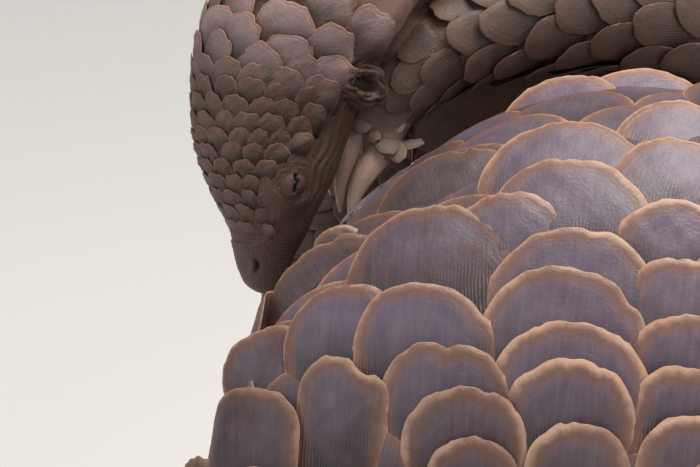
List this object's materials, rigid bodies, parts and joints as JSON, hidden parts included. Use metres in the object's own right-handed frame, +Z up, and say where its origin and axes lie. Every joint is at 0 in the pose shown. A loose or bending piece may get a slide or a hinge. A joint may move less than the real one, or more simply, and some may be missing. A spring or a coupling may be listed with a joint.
{
  "type": "ground pangolin",
  "caption": "Life-size curled ground pangolin on its back, broad scaled tail rising over the front, head hanging nose down beside it.",
  "frame": {"origin": "centre of the footprint of the whole animal, at the level of the floor it rests on", "axes": "+Z up, -Y the side that the rump and the root of the tail face, -X the side where the head hangs"},
  "size_m": [0.2641, 0.2899, 0.3382],
  "materials": {
    "scales": "satin horn",
    "hide": "matt wrinkled skin",
    "claw": "satin horn",
    "eye": "wet gloss"
  },
  "bodies": {
    "root": {"claw_left_fourth": "claw", "claw_left_inner": "claw", "claw_left_middle": "claw", "claw_left_outer": "claw", "claw_left_second": "claw", "claw_right_fourth": "claw", "claw_right_inner": "claw", "claw_right_middle": "claw", "claw_right_outer": "claw", "claw_right_second": "claw", "ear_left": "hide", "ear_right": "hide", "eye_left": "eye", "eye_right": "eye", "forefoot_left": "hide", "forefoot_right": "hide", "foreleg_left": "scales", "foreleg_right": "scales", "head": "scales", "hindfoot_left": "hide", "hindfoot_right": "hide", "hindleg_left": "scales", "hindleg_right": "scales", "nail_left_1": "claw", "nail_left_2": "claw", "nail_left_3": "claw", "nail_left_4": "claw", "nail_left_5": "claw", "nail_right_1": "claw", "nail_right_2": "claw", "nail_right_3": "claw", "nail_right_4": "claw", "nail_right_5": "claw", "neck": "scales", "tail_base": "scales", "tail_middle": "scales", "tail_tip": "scales", "trunk_front": "scales", "trunk_middle": "scales", "trunk_rear": "scales"}
  },
  "joints": []
}
